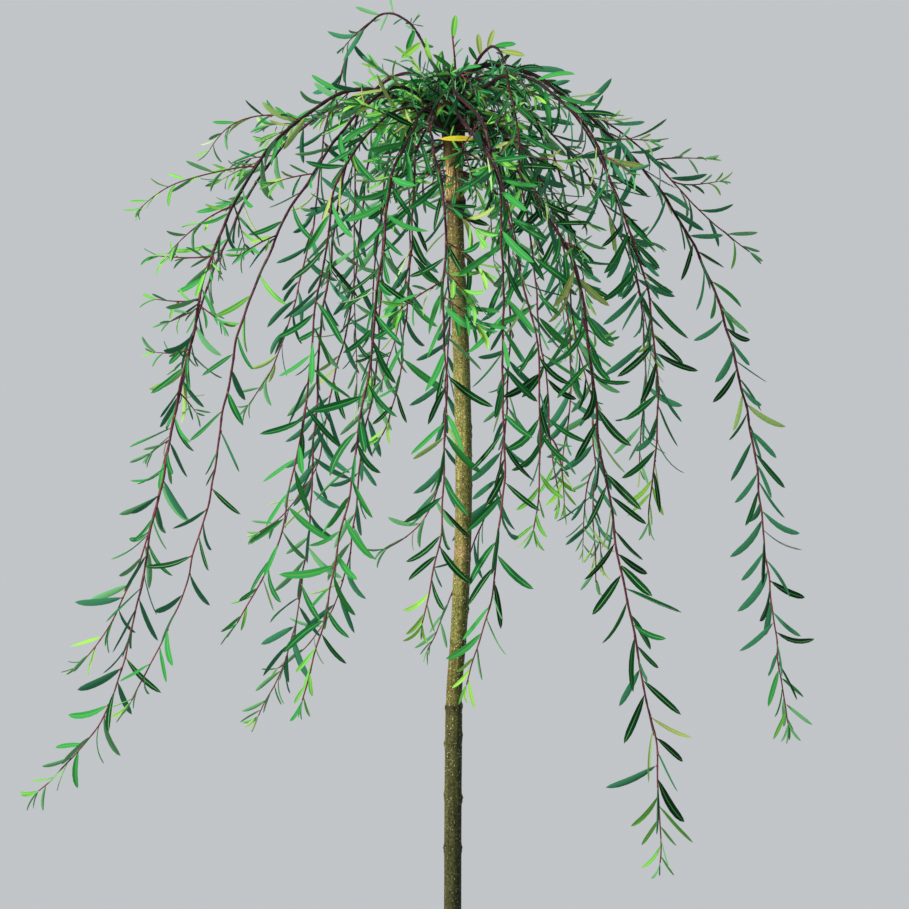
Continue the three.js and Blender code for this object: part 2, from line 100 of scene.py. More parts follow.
# side shoots that the crown's outline needs: parent, share, azimuth, length, pitch, turn
NAMED_SIDES = [
    ("left_long", 0.19, 176, 122, [30, 22, 8, 0, -8, -24, -48, -60], [4, 8, 12]),
    ("left_long", 0.26, 190, 148, [8, -4, -10, -12, -14, -18, -34, -44], [-4, -8, -12]),
    ("left_long", 0.31, 184, 95, [-20, -22, -26, -30, -36, -40, -46, -50], [4, 4, 4]),
    ("left_long", 0.37, 178, 62, [-5, -5, -6, -4, 0, 2, 4, 6], [0, 2, 4]),
    ("left_long", 0.42, 186, 52, [-12, -10, -8, -4, 0, 4, 6, 8], [0, -2, -4]),
    ("left_long", 0.475, 176, 40, [-30, -26, -20, -14, -8, 0, 4, 6], [0, 2, 4]),
    ("left_back", 0.5, 190, 46, [-50, -46, -40, -34, -30, -26, -24, -20], [0, 2, 4]),
    ("right_rear_spray", 0.66, 8, 66, [14, 12, 8, 4, 2, 0, -2, -4], [-4, -6, -8]),
    ("right_rear_spray", 0.73, 350, 60, [-30, -26, -18, -8, 0, 6, 8, 10], [4, 6, 8]),
    ("top_loop", 0.33, 200, 50, [-30, -34, -38, -40, -42, -44, -46, -50], [0, 4, 6]),
    ("front_loop", 0.90, 340, 80, [-46, -52, -62, -72, -80, -84, -86, -88], [0, -4, -6]),
    ("rear_right", 0.83, 190, 110, [-50, -60, -70, -78, -84, -86, -88, -88], [0, 4, 6]),
    ("rear_right", 0.90, 10, 60, [-46, -56, -66, -76, -82, -86, -88, -88], [0, -4, -6]),
]


def smooth_look_up(x, xs, ys):
    """Cubic through the stations, level at the ends: the stem's sway."""
    xs = np.asarray(xs, float)
    ys = np.asarray(ys, float)
    x = np.asarray(x, float)
    slope = np.zeros(len(xs))
    slope[1:-1] = (ys[2:] - ys[:-2]) / (xs[2:] - xs[:-2])
    i = np.clip(np.searchsorted(xs, x) - 1, 0, len(xs) - 2)
    w = xs[i + 1] - xs[i]
    t = np.clip((x - xs[i]) / w, 0, 1)
    t2, t3 = t * t, t * t * t
    return ((2 * t3 - 3 * t2 + 1) * ys[i] + (t3 - 2 * t2 + t) * w * slope[i]
            + (-2 * t3 + 3 * t2) * ys[i + 1] + (t3 - t2) * w * slope[i + 1])


def unit(v):
    return v / np.maximum(np.linalg.norm(v, axis=-1, keepdims=True), 1e-12)


def walk(start, azimuth, length, pitch, turn, steps):
    """Points (mm) along a shoot that follows its pitch and heading."""
    s = (np.arange(steps) + 0.5) / steps
    th = np.radians(np.interp(s, PITCH_AT, pitch))
    hd = np.radians(azimuth + np.interp(s, TURN_AT, [0, *turn]))
    d = np.stack([np.cos(th) * np.cos(hd), np.cos(th) * np.sin(hd), np.sin(th)], 1) * (length / steps)
    return np.vstack([np.zeros(3), np.cumsum(d, 0)]) + start


class Path:
    """A shoot's centre line in metres, evenly stepped, with tangents."""

    def __init__(self, points):
        self.p = points
        self.t = unit(np.gradient(points, axis=0))
        seg = np.linalg.norm(np.diff(points, axis=0), axis=1)
        self.d = np.r_[0, np.cumsum(seg)]
        self.length = self.d[-1]

    def at(self, dist):
        q = np.array([np.interp(dist, self.d, self.p[:, k]) for k in range(3)])
        t = unit(np.array([np.interp(dist, self.d, self.t[:, k]) for k in range(3)]))
        return q, t


def wobble(points, amount, seed, wave):
    """Small bends of its own, none at the root."""
    r = np.random.default_rng(seed)
    n = len(points)
    d = np.r_[0, np.cumsum(np.linalg.norm(np.diff(points, axis=0), axis=1))]
    out = points.copy()
    for _ in range(3):
        ph = r.uniform(0, 2 * math.pi, 3)
        k = r.uniform(0.7, 1.4) * 2 * math.pi / wave
        ramp = np.clip(d / (0.12 + 1e-9), 0, 1)[:, None]
        out += amount * ramp * np.stack([np.sin(k * d + ph[0]), np.sin(k * d + ph[1]), 0.4 * np.sin(k * d + ph[2])], 1) / 1.7
        wave *= 0.55
        amount *= 0.5
    return out


def grow(start, first, length, seed, pull, droop=(0, 0, -1), step=0.004):
    """A free side shoot: starts along `first`, and bends towards `droop`."""
    r = np.random.default_rng(seed)
    n = max(6, int(length / step))
    p = [np.array(start, float)]
    d = unit(np.array(first, float))
    droop = unit(np.array(droop, float))
    sway = r.normal(0, 1, 3)
    for i in range(n):
        u = i / n
        sway = unit(sway + r.normal(0, 0.35, 3))
        d = unit(d + pull * (droop - d) * (length / n) + 0.35 * sway * (length / n) * 6)
        p.append(p[-1] + d * length / n)
    return np.array(p)


# ------------------------------------------------------------------ mesh tools
def new_object(name, verts, faces, mats, face_mats=None, smooth=True):
    me = bpy.data.meshes.new(name)
    me.from_pydata(verts.tolist() if hasattr(verts, "tolist") else verts, [], faces)
    for m in mats:
        me.materials.append(m)
    if face_mats is not None:
        me.polygons.foreach_set("material_index", np.asarray(face_mats, np.int32))
    me.polygons.foreach_set("use_smooth", np.full(len(me.polygons), smooth))
    me.update()
    ob = bpy.data.objects.new(name, me)
    bpy.context.scene.collection.objects.link(ob)
    return ob


def frames_along(points):
    t = unit(np.gradient(points, axis=0))
    a = np.zeros_like(t)
    side = np.array([0, 0, 1.0]) if abs(t[0, 2]) < 0.9 else np.array([1.0, 0, 0])
    a[0] = unit(np.cross(side, t[0]))
    for i in range(1, len(t)):
        a[i] = unit(a[i - 1] - t[i] * np.dot(a[i - 1], t[i]))
    return t, a, np.cross(t, a)


class Tubes:
    """Closed tapering tubes joined in one mesh."""

    def __init__(self):
        self.v, self.f, self.m, self.n = [], [], [], 0

    def add(self, points, radius, sides, mat, relief=None):
        t, a, b = frames_along(points)
        ang = np.arange(sides) * 2 * math.pi / sides
        r = np.asarray(radius)[:, None] * np.ones(sides)[None]
        if relief is not None:
            r = r * relief(np.arange(len(points))[:, None], ang[None])
        ring = (points[:, None, :] + r[..., None] * (np.cos(ang)[None, :, None] * a[:, None, :]
                                                     + np.sin(ang)[None, :, None] * b[:, None, :]))
        k = len(points)
        base = self.n
        self.v.append(ring.reshape(-1, 3))
        self.v.append(points[:1] - t[:1] * radius[0] * 0.6)
        self.v.append(points[-1:] + t[-1:] * radius[-1] * 0.9)
        i = np.arange(k - 1)[:, None] * sides
        j = np.arange(sides)[None]
        j2 = (j + 1) % sides
        quads = np.stack([base + i + j, base + i + j2, base + i + sides + j2, base + i + sides + j], -1).reshape(-1, 4)
        self.f += quads.tolist()
        c0, c1 = base + k * sides, base + k * sides + 1
        for q in range(sides):
            self.f.append([c0, base + (q + 1) % sides, base + q])
            self.f.append([c1, base + (k - 1) * sides + q, base + (k - 1) * sides + (q + 1) % sides])
        count = len(quads) + 2 * sides
        if np.ndim(mat):
            per = np.repeat(np.asarray(mat)[:k - 1], sides)
            self.m.append(per)
            self.m.append(np.tile([mat[0], mat[-1]], sides))
        else:
            self.m.append(np.full(count, mat))
        self.n += k * sides + 2

    def build(self, name, mats):
        return new_object(name, np.vstack(self.v), self.f, mats, np.concatenate(self.m))


# ------------------------------------------------------------------- materials
def principled(name, color, rough=0.5, **extra):
    m = bpy.data.materials.new(name)
    m.use_nodes = True
    b = m.node_tree.nodes["Principled BSDF"]
    b.inputs["Base Color"].default_value = (*color, 1)
    b.inputs["Roughness"].default_value = rough
    for k, v in extra.items():
        b.inputs[k.replace("_", " ")].default_value = v
    m.diffuse_color = (*color, 1)
    return m


def srgb(r, g, b):
    def lin(c):
        c /= 255.0
        return c / 12.92 if c <= 0.04045 else ((c + 0.055) / 1.055) ** 2.4
    return (lin(r), lin(g), lin(b))


class Nodes:
    def __init__(self, mat):
        self.t = mat.node_tree
        self.b = self.t.nodes["Principled BSDF"]

    def add(self, kind, **kw):
        n = self.t.nodes.new(kind)
        for k, v in kw.items():
            if k in n.inputs:
                n.inputs[k].default_value = v
            else:
                setattr(n, k, v)
        return n

    def link(self, a, b):
        self.t.links.new(a, b)


def ramp(nodes, fac, stops):
    r = nodes.add("ShaderNodeValToRGB")
    el = r.color_ramp.elements
    el[0].position, el[0].color = stops[0][0], (*stops[0][1], 1)
    el[1].position, el[1].color = stops[1][0], (*stops[1][1], 1)
    for pos, col in stops[2:]:
        e = el.new(pos)
        e.color = (*col, 1)
    nodes.link(fac, r.inputs["Fac"])
    return r.outputs["Color"]


def mix(nodes, fac, a, b, mode="MIX"):
    m = nodes.add("ShaderNodeMix", data_type="RGBA", blend_type=mode)
    if isinstance(fac, (int, float)):
        m.inputs["Factor"].default_value = fac
    else:
        nodes.link(fac, m.inputs["Factor"])
    for sock, val in (("A", a), ("B", b)):
        s = [i for i in m.inputs if i.name == sock and i.type == "RGBA"][0]
        if isinstance(val, tuple):
            s.default_value = (*val, 1)
        else:
            nodes.link(val, s)
    return [o for o in m.outputs if o.type == "RGBA"][0]


def math_node(nodes, op, a, b=None, c=None, clamp=False):
    m = nodes.add("ShaderNodeMath", operation=op, use_clamp=clamp)
    for i, val in enumerate((a, b, c)):
        if val is None:
            continue
        if isinstance(val, (int, float)):
            m.inputs[i].default_value = val
        else:
            nodes.link(val, m.inputs[i])
    return m.outputs[0]


def stem_material():
    m = principled("stem_bark", srgb(120, 116, 70), 0.55, Specular_IOR_Level=0.10)
    n = Nodes(m)
    co = n.add("ShaderNodeTexCoord").outputs["Object"]
    sep = n.add("ShaderNodeSeparateXYZ")
    n.link(co, sep.inputs[0])
    z = sep.outputs["Z"]
    # colour down the stem, the bands at old leaf scars among it; the darkening towards the foot and over the head is
    # painted shade
    edge = n.add("ShaderNodeTexNoise", Scale=75.0, Detail=2.0, Roughness=0.5)
    n.link(co, edge.inputs["Vector"])
    uneven = math_node(n, "MULTIPLY_ADD", edge.outputs["Fac"], 0.0052, -0.0026)
    f = math_node(n, "DIVIDE", math_node(n, "ADD", z, uneven), 1.3, clamp=True)
    base = ramp(n, f, [
        # painted shade: darker from 0.38 down to the foot, and from 0.92 up over the head under the leaves
        (0.0, srgb(60, 60, 42)), (1.0, srgb(40, 30, 26)),
        (0.06, srgb(62, 64, 43)), (0.27, srgb(75, 77, 47)), (0.38, srgb(90, 91, 54)), (0.4075, srgb(95, 95, 56)),
        (0.4100, srgb(53, 51, 34)), (0.4120, srgb(122, 118, 68)), (0.43, srgb(106, 103, 56)),
        (0.455, srgb(112, 110, 60)), (0.488, srgb(119, 120, 66)), (0.515, srgb(128, 127, 70)),
        (0.545, srgb(138, 132, 78)), (0.5535, srgb(164, 138, 100)), (0.562, srgb(138, 132, 78)),
        (0.62, srgb(146, 142, 84)), (0.70, srgb(154, 150, 90)), (0.83, srgb(131, 125, 72)),
        (0.864, srgb(98, 84, 54)), (0.870, srgb(50, 38, 28)), (0.8765, srgb(36, 27, 21)), (0.881, srgb(208, 178, 120)),
        (0.8918, srgb(214, 184, 126)), (0.8935, srgb(40, 28, 22)), (0.8953, srgb(216, 186, 128)),
        (0.910, srgb(190, 158, 104)), (0.920, srgb(98, 78, 54)), (0.938, srgb(52, 40, 32)),
    ])
    # long streaks
    mp = n.add("ShaderNodeMapping")
    mp.inputs["Scale"].default_value = (190, 190, 9)
    n.link(co, mp.inputs["Vector"])
    streak = n.add("ShaderNodeTexNoise", Scale=1.0, Detail=5.0, Roughness=0.62)
    n.link(mp.outputs[0], streak.inputs["Vector"])
    s1 = ramp(n, streak.outputs["Fac"], [(0.32, (0.46, 0.45, 0.42)), (0.66, (1.12, 1.09, 1.0))])
    col = mix(n, 0.88, base, s1, "MULTIPLY")
    # mottling, coarse and fine
    bl = n.add("ShaderNodeTexNoise", Scale=60.0, Detail=5.0, Roughness=0.7)
    n.link(co, bl.inputs["Vector"])
    b1 = n.add("ShaderNodeMapRange")
    b1.inputs["From Min"].default_value = 0.42
    b1.inputs["From Max"].default_value = 0.66
    n.link(bl.outputs["Fac"], b1.inputs["Value"])
    col = mix(n, math_node(n, "MULTIPLY", b1.outputs[0], 0.60), col, mix(n, 1.0, col, (0.36, 0.38, 0.34), "MULTIPLY"))
    fine = n.add("ShaderNodeTexNoise", Scale=500.0, Detail=3.0, Roughness=0.62)
    n.link(co, fine.inputs["Vector"])
    f1 = ramp(n, fine.outputs["Fac"], [(0.36, (0.24, 0.24, 0.23)), (0.66, (1.66, 1.62, 1.50))])
    col = mix(n, 0.85, col, f1, "MULTIPLY")
    # painted shade: the side facing +X, away from the key light, is darkened and greened in the colour
    nrm = n.add("ShaderNodeSeparateXYZ")
    n.link(n.add("ShaderNodeTexCoord").outputs["Normal"], nrm.inputs[0])
    shade = n.add("ShaderNodeMapRange")
    shade.inputs["From Min"].default_value = -0.1
    shade.inputs["From Max"].default_value = 0.90
    n.link(nrm.outputs["X"], shade.inputs["Value"])
    col = mix(n, math_node(n, "MULTIPLY", shade.outputs[0], 0.92), col, mix(n, 1.0, col, (0.19, 0.37, 0.28), "MULTIPLY"))
    # cracks in the bare wood of the graft
    lo_z = n.add("ShaderNodeMapRange")
    lo_z.inputs["From Min"].default_value = 1.138
    lo_z.inputs["From Max"].default_value = 1.146
    n.link(z, lo_z.inputs["Value"])
    hi_z = n.add("ShaderNodeMapRange")
    hi_z.inputs["From Min"].default_value = 1.196
    hi_z.inputs["From Max"].default_value = 1.184
    n.link(z, hi_z.inputs["Value"])
    mp3 = n.add("ShaderNodeMapping")
    mp3.inputs["Scale"].default_value = (230, 230, 42)
    n.link(co, mp3.inputs["Vector"])
    cr = n.add("ShaderNodeTexVoronoi", feature="DISTANCE_TO_EDGE", Scale=1.0, Randomness=1.0)
    n.link(mp3.outputs[0], cr.inputs["Vector"])
    crack = math_node(n, "LESS_THAN", cr.outputs["Distance"], 0.075)
    band = math_node(n, "MULTIPLY", lo_z.outputs[0], hi_z.outputs[0])
    crack = math_node(n, "MULTIPLY", crack, band)
    col = mix(n, math_node(n, "MULTIPLY", crack, 0.8), col, srgb(50, 34, 24))
    # pale pores
    mp2 = n.add("ShaderNodeMapping")
    mp2.inputs["Scale"].default_value = (470, 470, 400)
    n.link(co, mp2.inputs["Vector"])
    vo = n.add("ShaderNodeTexVoronoi", feature="F1", Scale=1.0, Randomness=1.0)
    n.link(mp2.outputs[0], vo.inputs["Vector"])
    rnd = n.add("ShaderNodeSeparateColor")
    n.link(vo.outputs["Color"], rnd.inputs[0])
    near = math_node(n, "LESS_THAN", vo.outputs["Distance"], 0.26)
    some = math_node(n, "GREATER_THAN", math_node(n, "ADD", rnd.outputs[0], math_node(n, "MULTIPLY", shade.outputs[0], 0.12)), 0.76)
    dot = math_node(n, "MULTIPLY", near, some)
    dot = math_node(n, "MULTIPLY", dot, math_node(n, "LESS_THAN", z, 1.132))
    clear = n.add("ShaderNodeMapRange")     # the pores are faint on the oldest bark
    clear.inputs["From Min"].default_value = 0.36
    clear.inputs["From Max"].default_value = 0.56
    clear.inputs["To Min"].default_value = 0.30
    clear.inputs["To Max"].default_value = 0.74
    n.link(z, clear.inputs["Value"])
    col = mix(n, math_node(n, "MULTIPLY", dot, clear.outputs[0]), col, srgb(220, 212, 174))
    n.link(col, n.b.inputs["Base Color"])
    rough = n.add("ShaderNodeMapRange")
    rough.inputs["To Min"].default_value = 0.42
    rough.inputs["To Max"].default_value = 0.68
    n.link(streak.outputs["Fac"], rough.inputs["Value"])
    n.link(rough.outputs[0], n.b.inputs["Roughness"])
    bump = n.add("ShaderNodeBump", Strength=0.45, Distance=0.0006)
    h = math_node(n, "ADD", math_node(n, "MULTIPLY", streak.outputs["Fac"], 0.8), math_node(n, "MULTIPLY", dot, 0.7))
    h = math_node(n, "ADD", h, math_node(n, "MULTIPLY", fine.outputs["Fac"], 0.7))
    h = math_node(n, "SUBTRACT", h, math_node(n, "MULTIPLY", crack, 1.2))
    n.link(h, bump.inputs["Height"])
    n.link(bump.outputs[0], n.b.inputs["Normal"])
    return m


def shoot_material(name, low, high, pore):
    m = principled(name, low, 0.55, Specular_IOR_Level=0.12)
    n = Nodes(m)
    co = n.add("ShaderNodeTexCoord").outputs["Object"]
    nz = n.add("ShaderNodeTexNoise", Scale=26.0, Detail=4.0, Roughness=0.6)
    n.link(co, nz.inputs["Vector"])
    col = ramp(n, nz.outputs["Fac"], [(0.35, low), (0.65, high)])
    fine = n.add("ShaderNodeTexNoise", Scale=420.0, Detail=3.0, Roughness=0.6)
    n.link(co, fine.inputs["Vector"])
    f1 = ramp(n, fine.outputs["Fac"], [(0.3, (0.6, 0.6, 0.6)), (0.7, (1.25, 1.25, 1.25))])
    col = mix(n, 0.6, col, f1, "MULTIPLY")
    vo = n.add("ShaderNodeTexVoronoi", feature="F1", Scale=260.0, Randomness=1.0)
    n.link(co, vo.inputs["Vector"])
    rnd = n.add("ShaderNodeSeparateColor")
    n.link(vo.outputs["Color"], rnd.inputs[0])
    dot = math_node(n, "MULTIPLY", math_node(n, "LESS_THAN", vo.outputs["Distance"], 0.17),
                    math_node(n, "GREATER_THAN", rnd.outputs[0], 0.6))
    col = mix(n, math_node(n, "MULTIPLY", dot, 0.6), col, pore)
    n.link(col, n.b.inputs["Base Color"])
    bump = n.add("ShaderNodeBump", Strength=0.3, Distance=0.0004)
    n.link(math_node(n, "ADD", fine.outputs["Fac"], dot), bump.inputs["Height"])
    n.link(bump.outputs[0], n.b.inputs["Normal"])
    return m


stem_bark = stem_material()
bough_bark = shoot_material("shoot_bark_old", srgb(22, 12, 15), srgb(50, 28, 30), srgb(120, 98, 80))
shoot_bark = shoot_material("shoot_bark", srgb(28, 12, 20), srgb(60, 30, 38), srgb(124, 92, 84))
shoot_mid = shoot_material("shoot_bark_mid", srgb(56, 26, 36), srgb(92, 48, 56), srgb(140, 104, 96))
shoot_young = shoot_material("shoot_bark_young", srgb(78, 36, 46), srgb(116, 60, 64), srgb(152, 112, 100))
twig_dark = principled("twig_dark", srgb(50, 28, 34), 0.55, Specular_IOR_Level=0.1)
twig_red = principled("twig_red", srgb(86, 44, 48), 0.55, Specular_IOR_Level=0.1)
twig_green = principled("twig_green", srgb(84, 100, 44), 0.55, Specular_IOR_Level=0.1)
bud_brown = principled("bud", srgb(118, 66, 46), 0.5, Specular_IOR_Level=0.15)

# leaf colours: upper side, under side, midrib, all plain
UPPER = [srgb(6, 49, 25), srgb(16, 88, 42), srgb(42, 127, 58), srgb(86, 158, 62),
         srgb(120, 176, 66), srgb(132, 146, 80)]
UNDER = [srgb(48, 108, 76), srgb(90, 148, 98), srgb(138, 172, 98)]
RIB = [srgb(74, 142, 62), srgb(140, 188, 84)]
leaf_mats = ([principled(f"leaf_upper_{i}", c, 0.55, Specular_IOR_Level=0.06) for i, c in enumerate(UPPER)]
             + [principled(f"leaf_under_{i}", c, 0.70, Specular_IOR_Level=0.03) for i, c in enumerate(UNDER)]
             + [principled(f"leaf_rib_{i}", c, 0.6, Specular_IOR_Level=0.08) for i, c in enumerate(RIB)]
             + [principled("leaf_stalk", srgb(150, 128, 78), 0.6, Specular_IOR_Level=0.08)]
             + [principled("leaf_yellow", srgb(206, 186, 44), 0.6, Specular_IOR_Level=0.08)]
             + [principled("leaf_pale", srgb(150, 178, 116), 0.65, Specular_IOR_Level=0.06)])
I_UNDER, I_RIB, I_STALK, I_YELLOW, I_PALE = 6, 9, 11, 12, 13
# a palette: upper, under, midrib
PALETTES = {
    "dark": (0, 0, 0), "mid": (1, 0, 0), "fresh": (2, 1, 0), "bright": (3, 1, 1),
    "tip": (4, 2, 1), "olive": (5, 2, 1), "yellow": (6, 6, 1), "pale": (7, 7, 1),
}
PALETTE_ROWS = np.array([
    [0, 6, 9], [1, 6, 9], [2, 7, 9], [3, 7, 10], [4, 8, 10], [5, 8, 10], [12, 12, 10],
    [13, 13, 10]])
PALETTE_INDEX = {k: i for i, k in enumerate(PALETTES)}


# ---------------------------------------------------------------------- leaves
class Leaves:
    """Collects leaves, then makes one joined mesh of them by arrays."""
    T = np.array([0.0, 0.05, 0.15, 0.30, 0.46, 0.63, 0.79, 0.915, 1.0])
    W = np.array([0.11, 0.13, 0.55, 0.86, 0.98, 1.0, 0.91, 0.58, 0.0])
    C = np.array([-1.0, -0.54, -0.12, 0.12, 0.54, 1.0])

    def __init__(self):
        self.rows = []

    def add(self, base, first, normal, length, width, curl, fold, twist, palette, side=0.0, away=(0, 0, 0), flare=0.0):
        self.rows.append(np.r_[base, first, normal, length, width, curl, fold, twist, palette, side, away, flare])

    def arrays(self):
        R = np.array(self.rows)
        n = len(R)
        P = R[:, 0:3]
        D = unit(R[:, 3:6])
        N = R[:, 6:9]
        L, Wd, curl, fold, twist, side = R[:, 9], R[:, 10], R[:, 11], R[:, 12], R[:, 13], R[:, 15]
        away, flare = R[:, 16:19], R[:, 19]
        K = len(self.T)
        down = np.array([0, 0, -1.0])
        centre = np.zeros((n, K, 3))
        normal = np.zeros((n, K, 3))
        across = np.zeros((n, K, 3))
        d = D.copy()
        nn = unit(N - (N * d).sum(1, keepdims=True) * d)
        w0 = np.cross(d, nn)
        p = P.copy()
        for k in range(K):
            if k:
                dt = self.T[k] - self.T[k - 1]
                p = p + d * (L * dt)[:, None]
                # bends down under its weight, and a little to one side
                d = unit(d + down * (curl * dt * (0.5 + self.T[k]))[:, None] + w0 * (side * dt)[:, None]
                         + away * (flare * dt * (0.4 + 1.1 * self.T[k]))[:, None])
            nn = unit(nn - (nn * d).sum(1, keepdims=True) * d)
            w = np.cross(d, nn)
            a = twist * self.T[k]
            wr = w * np.cos(a)[:, None] + nn * np.sin(a)[:, None]
            nr = nn * np.cos(a)[:, None] - w * np.sin(a)[:, None]
            centre[:, k], normal[:, k], across[:, k] = p, nr, wr
        hw = Wd[:, None] * 0.5 * self.W[None]
        off = self.C[None, None, :] * hw[..., None]                      # n,K,6
        rise = np.abs(self.C)[None, None] * hw[..., None] * np.tan(fold)[:, None, None]
        # the two halves bulge a little between midrib and edge
        rise = rise + 0.10 * hw[..., None] * (1 - (np.abs(self.C)[None, None] - 0.5) ** 2 * 4).clip(0)
        top = centre[:, :, None] + across[:, :, None] * off[..., None] + normal[:, :, None] * rise[..., None]
        thick = 0.00028
        keel = centre - normal * (0.00042 + thick)
        low = top.copy()
        verts = np.concatenate([top[:, :-1], keel[:, :-1, None]], 2)     # n,K-1,7
        tip = centre[:, -1:]
        return verts.reshape(n, -1, 3), tip, R

    def build(self, name, box):
        verts, tip, R = self.arrays()
        n = len(R)
        K = len(self.T) - 1
        V = np.concatenate([verts, tip], 1)                               # n, K*7+1
        # keep every leaf in the CAD model's box and its allowance
        lo, hi = box
        out = ((V < lo) | (V > hi)).any(axis=(1, 2))
        V = V[~out]
        R = R[~out]
        n = len(R)
        per = K * 7 + 1
        quads, qm = [], []
        for k in range(K - 1):
            for c in range(5):
                a = k * 7 + c
                quads.append([a, a + 1, a + 8, a + 7])
                qm.append(3 if k == 0 else (2 if c == 2 else 0))
            quads.append([k * 7 + 5, k * 7 + 6, k * 7 + 13, k * 7 + 12])
            quads.append([k * 7 + 6, k * 7 + 0, k * 7 + 7, k * 7 + 13])
            qm += [3 if k == 0 else 1] * 2
        tris, tm = [], []
        k = K - 1
        for c in range(5):
            tris.append([k * 7 + c, k * 7 + c + 1, per - 1])
            tm.append(2 if c == 2 else 0)
        tris.append([k * 7 + 5, k * 7 + 6, per - 1])
        tris.append([k * 7 + 6, k * 7, per - 1])
        tm += [1, 1]
        cap = [6, 5, 4, 3, 2, 1, 0]
        quads, tris = np.array(quads), np.array(tris)
        base = (np.arange(n) * per)[:, None, None]
        F = (quads[None] + base).reshape(-1, 4).tolist() + (tris[None] + base).reshape(-1, 3).tolist() \
            + (np.array(cap)[None] + base[:, 0]).tolist()
        rows = PALETTE_ROWS[R[:, 14].astype(int)]                          # n,3
        table = np.concatenate([rows, np.full((n, 1), I_STALK)], 1)        # upper, under, rib, stalk
        M = np.concatenate([table[:, np.array(qm)].ravel(), table[:, np.array(tm)].ravel(), np.full(n, I_STALK)])
        ob = new_object(name, V.reshape(-1, 3), F, leaf_mats, M)
        # a crisp margin between the upper and the under side
        me = ob.data
        ev = np.empty(len(me.edges) * 2, np.int32)
        me.edges.foreach_get("vertices", ev)
        ev = np.sort(ev.reshape(-1, 2) % per, axis=1)
        a, b = ev[:, 0], ev[:, 1]
        rim = ((b == a + 7) & ((a % 7 == 0) | (a % 7 == 5))) | ((b == per - 1) & ((a == (K - 1) * 7) | (a == (K - 1) * 7 + 5)))
        me.attributes.new("sharp_edge", "BOOLEAN", "EDGE").data.foreach_set("value", rim)
        me.update()
        print(name, "leaves", n, "dropped", int(out.sum()), "tris", n * (len(quads) * 2 + len(tris) + 5))
        return ob


GROUPS = ("left", "front", "right", "rear")
leaves = {g: Leaves() for g in GROUPS}
twigs = Tubes()
buds = {"v": [], "f": [], "n": 0}
AXIS = np.array([0.004, 0, 0])


def around(t, angle):
    """A unit direction square to t."""
    ref = np.array([0, 0, 1.0]) if abs(t[2]) < 0.9 else np.array([1.0, 0, 0])
    a = unit(np.cross(ref, t))
    b = np.cross(t, a)
    return math.cos(angle) * a + math.sin(angle) * b


def add_bud(p, along, out, size):
    """A small pointed bud in the crook of a leaf."""
    side = np.cross(along, out)
    base = p + out * size * 0.25
    pts = []
    for h, r in ((0.0, 0.34), (0.45, 0.42), (0.8, 0.22)):
        for k in range(5):
            a = k * 2 * math.pi / 5
            pts.append(base + along * size * h + out * size * 0.25 * h
                       + (math.cos(a) * side + math.sin(a) * out) * size * r)
    pts.append(base + along * size * 1.15 + out * size * 0.3)
    n = buds["n"]
    for ring in range(2):
        for k in range(5):
            a, b = n + ring * 5 + k, n + ring * 5 + (k + 1) % 5
            buds["f"].append([a, b, b + 5, a + 5])
    for k in range(5):
        buds["f"].append([n + 10 + k, n + 10 + (k + 1) % 5, n + 15])
    buds["f"].append([n + 4, n + 3, n + 2, n + 1, n])
    buds["v"].append(np.array(pts))
    buds["n"] += 16


def leaf_at(group, p, t, angle, size, palette, spread, r, curl=None, up=0.35):
    """One leaf from point p of a shoot that runs along t."""
    out = around(t, angle)
    a = math.radians(spread)
    first = math.cos(a) * t + math.sin(a) * out
    outward = np.array([p[0] - AXIS[0], p[1] - AXIS[1], 0.0])
    outward = outward / max(np.linalg.norm(outward), 0.03)
    if r.random() < 0.68:       # the blade hangs in the upright plane of its own midrib
        face = np.cross(first, np.array([0, 0, 1.0]))
        face = face / max(np.linalg.norm(face), 0.05)
        lean = face @ outward
        face = face * (1 if lean + r.normal(0, 0.25) > 0 else -1)
        face = face + 0.25 * outward + 0.30 * np.array([0, 0, 1.0]) + r.normal(0, 0.22, 3)
    else:
        face = 0.75 * outward + up * np.array([0, 0, 1.0]) + 0.55 * out + r.normal(0, 0.38, 3)
    if group == "front" and -0.034 < p[0] < 0.040 and 1.175 < p[2] < 1.240 and p[1] < -0.045:
        return                  # keeps the turned leaf in sight
    length = size
    width = size * r.uniform(0.113, 0.142)
    if r.random() < 0.035 and palette not in ("tip", "yellow"):
        palette, width = "pale", width * 0.45
    leaves[group].add(
        p, first, face, length, width,
        curl if curl is not None else r.normal(0.14, 0.30),
        math.radians(r.uniform(6, 24)), math.radians(r.normal(0, 20)),
        PALETTE_INDEX[palette], r.normal(0, 0.28), out, r.normal(0.82, 0.45))


def pick(r, names, weights):
    return names[int(r.choice(len(names), p=np.array(weights) / sum(weights)))]


